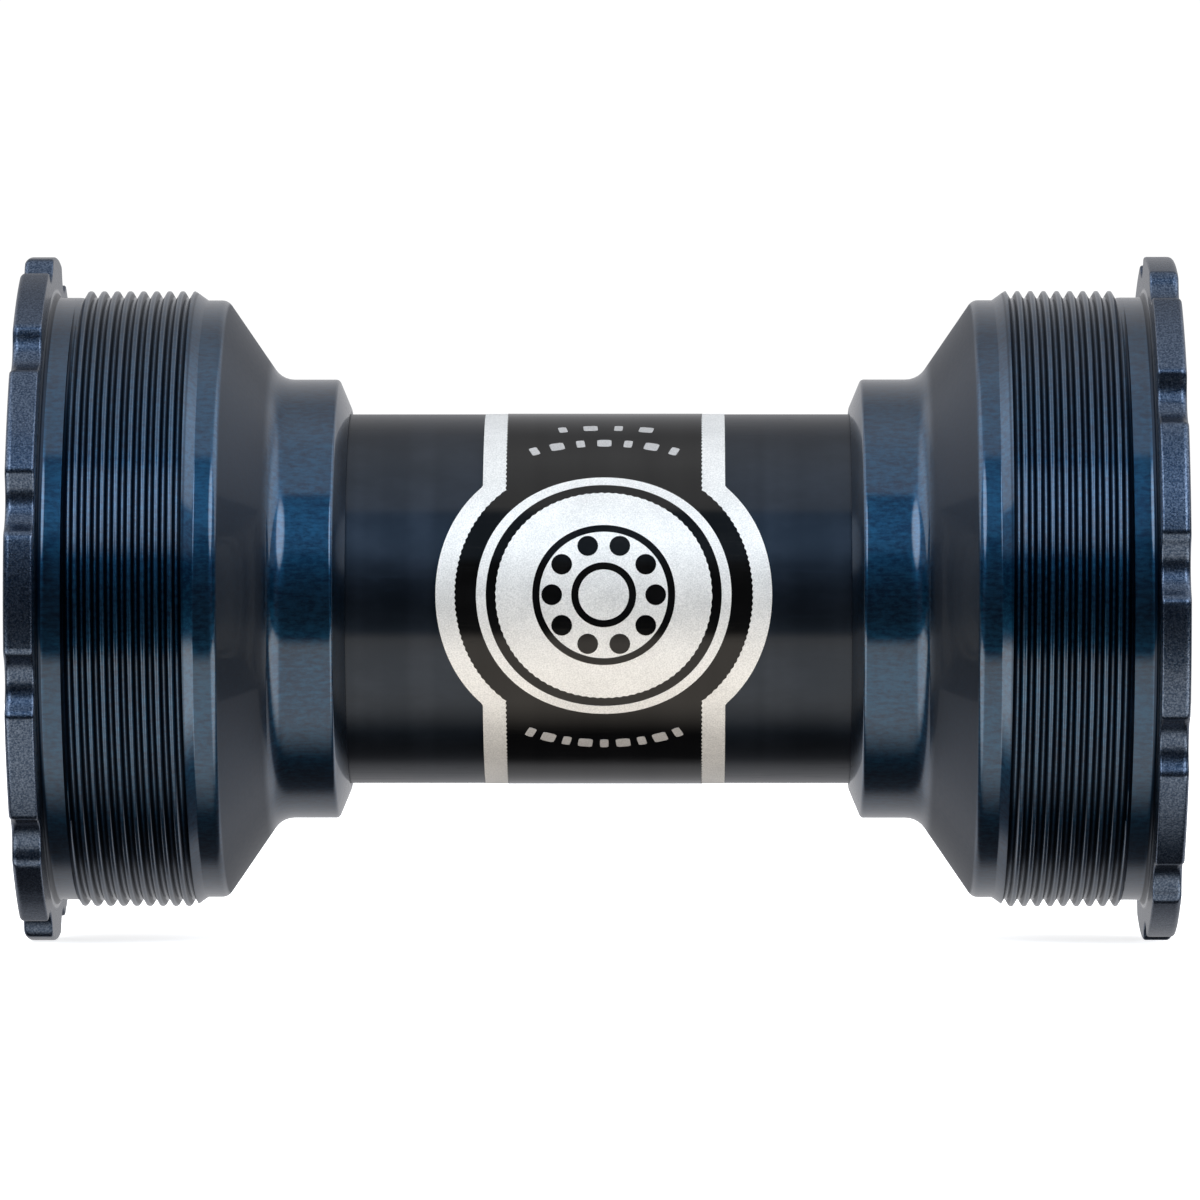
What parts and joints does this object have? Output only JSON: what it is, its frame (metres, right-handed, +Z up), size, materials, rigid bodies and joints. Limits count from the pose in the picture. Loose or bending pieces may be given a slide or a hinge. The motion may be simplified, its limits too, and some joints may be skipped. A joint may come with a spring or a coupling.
{
  "type": "bottom bracket",
  "caption": "Notched threaded bearing cups joined by a slim sleeve, with sealed ball bearings and bushings for a crank spindle.",
  "frame": {"origin": "middle of the assembly on the spindle axis, halfway between the flanges' outer faces", "axes": "+X along the spindle axis towards the drive side, +Z up, the label's badge faces -Y"},
  "size_m": [0.0874, 0.0522, 0.0522],
  "materials": {
    "cup_anodised": "satin dark navy anodising with fine turning marks",
    "race_steel": "ground bearing steel",
    "ball_steel": "polished bearing steel",
    "cage_nylon": "moulded nylon",
    "seal_rubber": "matt moulded rubber",
    "spring_steel": "spring steel",
    "bushing_plastic": "turned black acetal",
    "cover_plastic": "moulded black nylon with a fine texture",
    "o_ring_rubber": "greased rubber",
    "sleeve_black": "gloss black drawn tube",
    "label_foil": "silver foil and gloss black print"
  },
  "bodies": {
    "drive_cup_group": {"drive_cup": "cup_anodised", "drive_outer_race": "race_steel", "drive_outboard_seal": "seal_rubber", "drive_inboard_seal": "seal_rubber", "drive_seal_snap_ring": "spring_steel", "drive_dust_cover": "cover_plastic"},
    "drive_inner_race_group": {"drive_inner_race": "race_steel", "drive_spindle_bushing": "bushing_plastic"},
    "drive_ball_group": {"drive_balls": "ball_steel", "drive_ball_cage": "cage_nylon"},
    "drive_o_ring_group": {"drive_o_ring": "o_ring_rubber"},
    "sleeve_group": {"inner_sleeve": "sleeve_black", "sleeve_label": "label_foil"},
    "non_drive_cup_group": {"non_drive_cup": "cup_anodised", "non_drive_outer_race": "race_steel", "non_drive_outboard_seal": "seal_rubber", "non_drive_inboard_seal": "seal_rubber", "non_drive_seal_snap_ring": "spring_steel", "non_drive_dust_cover": "cover_plastic"},
    "non_drive_inner_race_group": {"non_drive_inner_race": "race_steel", "non_drive_spindle_bushing": "bushing_plastic"},
    "non_drive_ball_group": {"non_drive_balls": "ball_steel", "non_drive_ball_cage": "cage_nylon"},
    "non_drive_o_ring_group": {"non_drive_o_ring": "o_ring_rubber"}
  },
  "joints": [
    {"name": "drive_race_spin", "type": "hinge", "parent": "drive_cup_group", "child": "drive_inner_race_group", "pos_m": [0.0367, 0, 0], "axis": [1, 0, 0], "continuous": true},
    {"name": "drive_ball_orbit", "type": "hinge", "parent": "drive_cup_group", "child": "drive_ball_group", "pos_m": [0.0367, 0, 0], "axis": [1, 0, 0], "continuous": true},
    {"name": "drive_cup_turn", "type": "hinge", "parent": "drive_cup_group", "child": "drive_o_ring_group", "pos_m": [0.02155, 0, 0], "axis": [1, 0, 0], "continuous": true},
    {"name": "drive_sleeve_slide", "type": "slide", "parent": "drive_o_ring_group", "child": "sleeve_group", "axis": [1, 0, 0], "range_m": [-0.0035, 0.0012]},
    {"name": "non_drive_cup_slide", "type": "slide", "parent": "sleeve_group", "child": "non_drive_o_ring_group", "axis": [1, 0, 0], "range_m": [-0.0035, 0.0012]},
    {"name": "non_drive_cup_turn", "type": "hinge", "parent": "non_drive_o_ring_group", "child": "non_drive_cup_group", "pos_m": [-0.02155, 0, 0], "axis": [1, 0, 0], "continuous": true},
    {"name": "non_drive_race_spin", "type": "hinge", "parent": "non_drive_cup_group", "child": "non_drive_inner_race_group", "pos_m": [-0.0367, 0, 0], "axis": [1, 0, 0], "continuous": true},
    {"name": "non_drive_ball_orbit", "type": "hinge", "parent": "non_drive_cup_group", "child": "non_drive_ball_group", "pos_m": [-0.0367, 0, 0], "axis": [1, 0, 0], "continuous": true}
  ],
  "couplings": [
    {"joint": "drive_ball_orbit", "follows": "drive_race_spin", "ratio": 0.44879},
    {"joint": "non_drive_ball_orbit", "follows": "non_drive_race_spin", "ratio": 0.44879}
  ]
}
